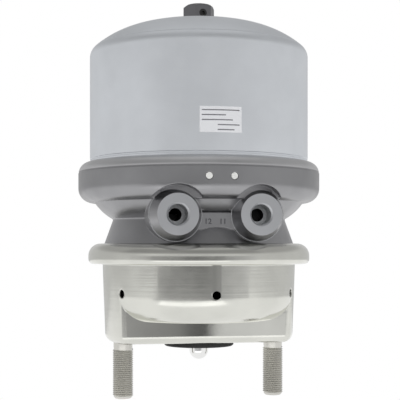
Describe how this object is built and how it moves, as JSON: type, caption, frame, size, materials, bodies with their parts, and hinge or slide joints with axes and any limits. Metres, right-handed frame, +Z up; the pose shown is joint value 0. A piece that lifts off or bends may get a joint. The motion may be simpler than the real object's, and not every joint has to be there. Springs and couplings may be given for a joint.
{
  "type": "spring brake chamber",
  "caption": "Air brake chamber with a domed parking spring can above, a ported cast body and a steel service housing with a pushrod and mounting studs below.",
  "frame": {"origin": "centre of the mounting face, midway between the two studs, on the chamber's axis", "axes": "+Z runs up the chamber's axis from the mounting face to the parking spring housing and the pushrod pushes along -Z; -Y is the front, where both air ports open; +X runs from port 12 to port 11, along the line of the studs"},
  "size_m": [0.19, 0.19, 0.3098],
  "materials": {
    "service_housing": "drawn steel, passivated, slightly yellow, semi-gloss",
    "studs": "zinc plated thread",
    "boot": "black rubber",
    "clip": "zinc plated",
    "rod": "zinc plated, smooth",
    "spring": "spring steel, coated",
    "casting": "die cast, satin, ports machined bright",
    "breather": "white porous plastic",
    "seal": "black rubber",
    "guide": "acetal",
    "can": "drawn aluminium, satin, pale blue grey",
    "power_spring": "spring steel, epoxy coated",
    "piston": "die cast",
    "foot": "black moulded",
    "bolt": "dark phosphated steel",
    "screw": "black oxide"
  },
  "bodies": {
    "housing": {"service_housing": "service_housing", "mounting_studs": "studs", "sealing_boot": "boot", "spring_seat": "clip", "return_spring": "spring", "diaphragm": "boot", "centre_body": "casting", "breather_plugs": "breather", "housing_seal": "seal", "tube_seal": "seal", "tube_bush": "guide", "spring_housing": "can", "power_spring": "power_spring", "thrust_washer": "guide", "release_traveller": "bolt"},
    "parking_piston": {"parking_piston": "piston", "piston_seal": "seal", "piston_guide_ring": "guide", "piston_tube": "rod", "thrust_foot": "foot"},
    "pushrod": {"pushrod": "rod", "pushrod_plate": "rod", "boot_clip": "clip"},
    "release_bolt": {"release_bolt": "bolt", "release_nut": "bolt", "nut_lock_screw": "screw"}
  },
  "joints": [
    {"name": "parking_stroke", "type": "slide", "parent": "housing", "child": "parking_piston", "axis": [0, 0, -1], "range_m": [0, 0.057], "deforming": ["power_spring"]},
    {"name": "pushrod_stroke", "type": "slide", "parent": "housing", "child": "pushrod", "axis": [0, 0, -1], "range_m": [0, 0.057], "stiffness_N_per_m": 1500, "springref_m": -0.04, "deforming": ["return_spring", "diaphragm", "sealing_boot"]},
    {"name": "release_turn", "type": "hinge", "parent": "housing", "child": "release_bolt", "pos_m": [0, 0, 0.26], "axis": [0, 0, 1], "continuous": true}
  ],
  "couplings": [
    {"joint": "pushrod_stroke", "follows": "parking_stroke", "ratio": 1}
  ]
}
